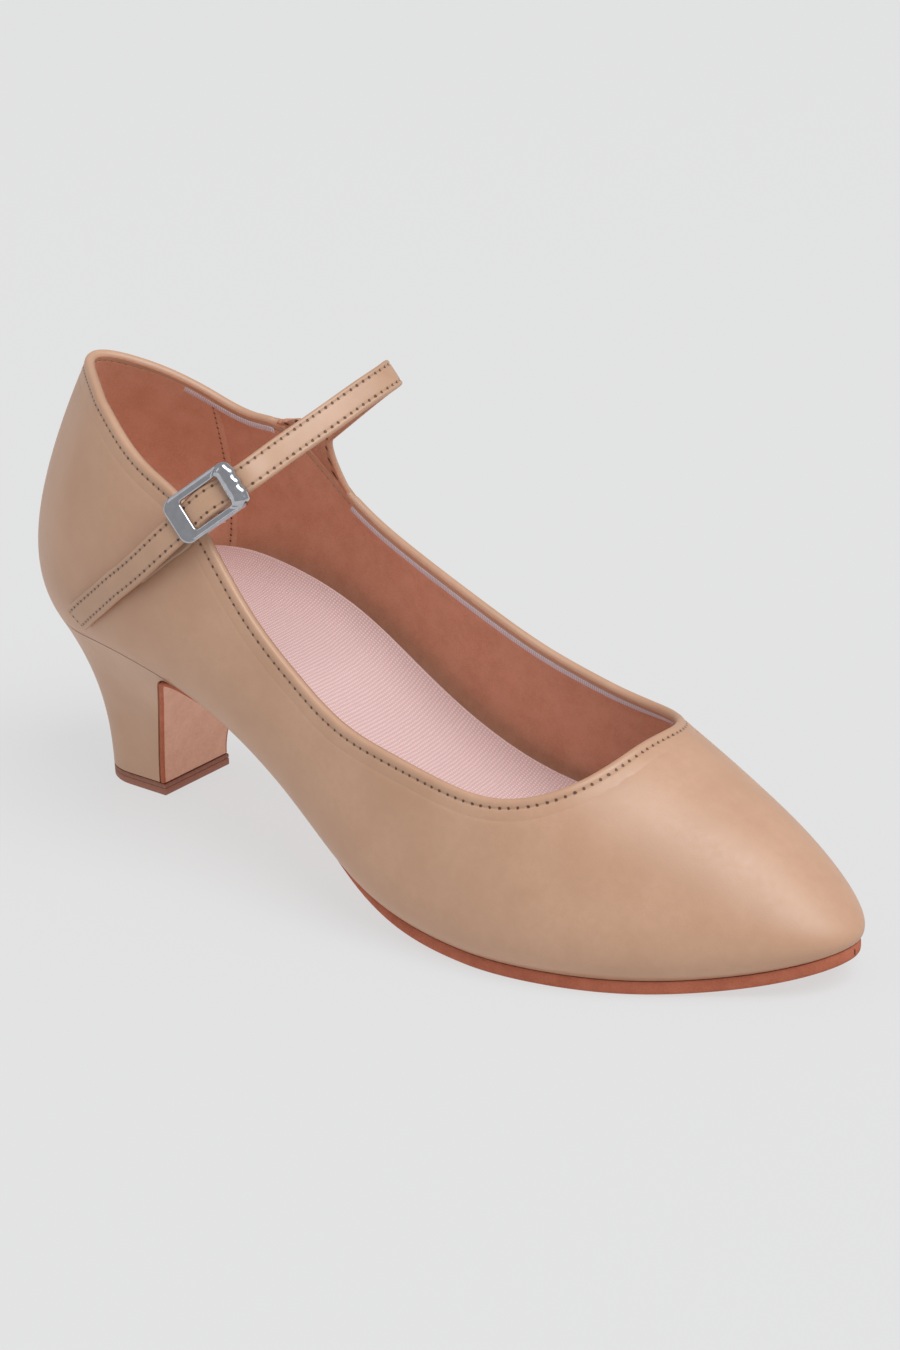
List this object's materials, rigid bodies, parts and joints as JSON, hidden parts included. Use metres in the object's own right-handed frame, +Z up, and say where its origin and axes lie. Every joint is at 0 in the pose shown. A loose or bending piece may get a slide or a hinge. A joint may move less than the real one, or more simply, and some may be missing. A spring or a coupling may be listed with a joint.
{
  "type": "character shoe",
  "caption": "Right women's character shoe in smooth leather: closed almond toe, low-cut collar, curved block heel and one buckled strap over the instep.",
  "frame": {"origin": "centre of the bounding box's underside, on the floor the shoe stands on", "axes": "+X from the heel to the toe, +Y to the inner (big-toe) side, +Z up"},
  "size_m": [0.2338, 0.079, 0.1109],
  "materials": {
    "upper_leather": "smooth tan calf, satin",
    "strap_leather": "smooth tan calf, satin",
    "tab_leather": "matte tan",
    "buckle_chrome": "polished",
    "heel_leather": "smooth tan calf over a moulded block, satin",
    "lift_leather": "matte reddish brown",
    "sole_leather": "suede, matte reddish brown",
    "insole_board": "matte board",
    "sock_cloth": "pink ribbed cloth"
  },
  "bodies": {
    "root": {"upper": "upper_leather", "strap": "strap_leather", "anchor_tab": "tab_leather", "buckle": "buckle_chrome", "heel": "heel_leather", "top_lift": "lift_leather", "outsole": "sole_leather", "insole": "insole_board", "sock_lining": "sock_cloth"}
  },
  "joints": []
}
